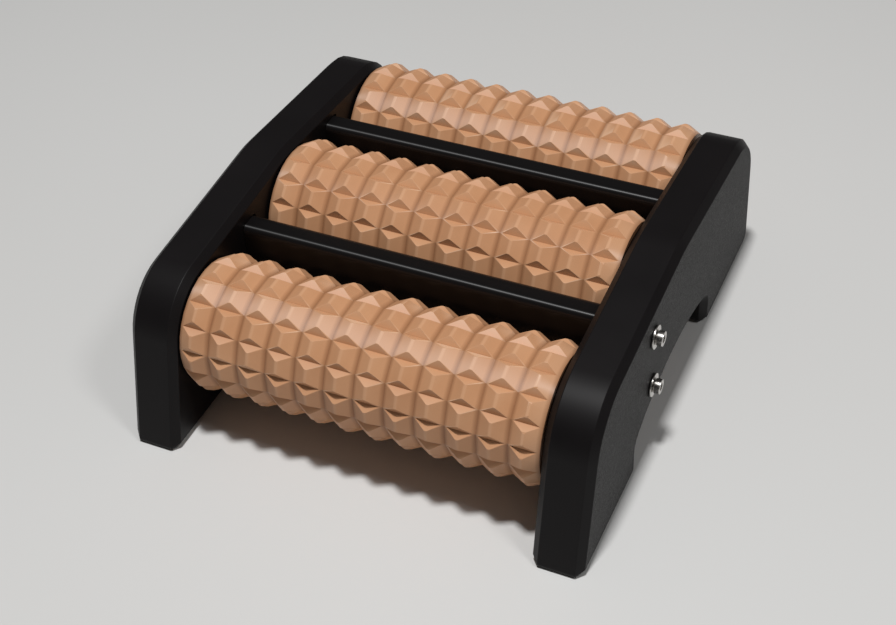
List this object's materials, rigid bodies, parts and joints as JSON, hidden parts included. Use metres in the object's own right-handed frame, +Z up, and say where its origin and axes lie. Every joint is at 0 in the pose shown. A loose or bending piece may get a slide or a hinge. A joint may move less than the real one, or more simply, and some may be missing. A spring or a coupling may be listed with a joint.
{
  "type": "roller foot massager",
  "caption": "Low foot massager with studded rollers that turn freely on axles between two arched black side frames tied by cross rails.",
  "frame": {"origin": "middle of the object's box, on the floor under the feet", "axes": "+X to the right side frame, along the rollers; +Y to the rear; +Z up"},
  "size_m": [0.2122, 0.2238, 0.0802],
  "materials": {
    "frame": "satin black print with a grainy outer face",
    "roller": "satin tan print",
    "bar": "gloss black",
    "axle": "ground",
    "bush": "natural nylon",
    "insert": "turned",
    "screw": "bright"
  },
  "bodies": {
    "frame": {"side_frame_right": "frame", "side_frame_left": "frame", "axle_front": "axle", "axle_middle": "axle", "axle_rear": "axle", "cross_bar_front": "bar", "cross_bar_rear": "bar", "tie_bar": "bar", "insert_upper_right": "insert", "insert_lower_right": "insert", "insert_upper_left": "insert", "insert_lower_left": "insert", "washer_upper_right": "screw", "washer_lower_right": "screw", "washer_upper_left": "screw", "washer_lower_left": "screw", "screw_upper_right": "screw", "screw_lower_right": "screw", "screw_upper_left": "screw", "screw_lower_left": "screw"},
    "front_roller": {"roller_front": "roller", "bush_front_right": "bush", "bush_front_left": "bush"},
    "middle_roller": {"roller_middle": "roller", "bush_middle_right": "bush", "bush_middle_left": "bush"},
    "rear_roller": {"roller_rear": "roller", "bush_rear_right": "bush", "bush_rear_left": "bush"}
  },
  "joints": [
    {"name": "front_roller_spin", "type": "hinge", "parent": "frame", "child": "front_roller", "pos_m": [0, -0.07103, 0.0434], "axis": [1, 0, 0], "continuous": true},
    {"name": "middle_roller_spin", "type": "hinge", "parent": "frame", "child": "middle_roller", "pos_m": [0, 0.00544, 0.0502], "axis": [1, 0, 0], "continuous": true},
    {"name": "rear_roller_spin", "type": "hinge", "parent": "frame", "child": "rear_roller", "pos_m": [0, 0.08192, 0.0434], "axis": [1, 0, 0], "continuous": true}
  ]
}
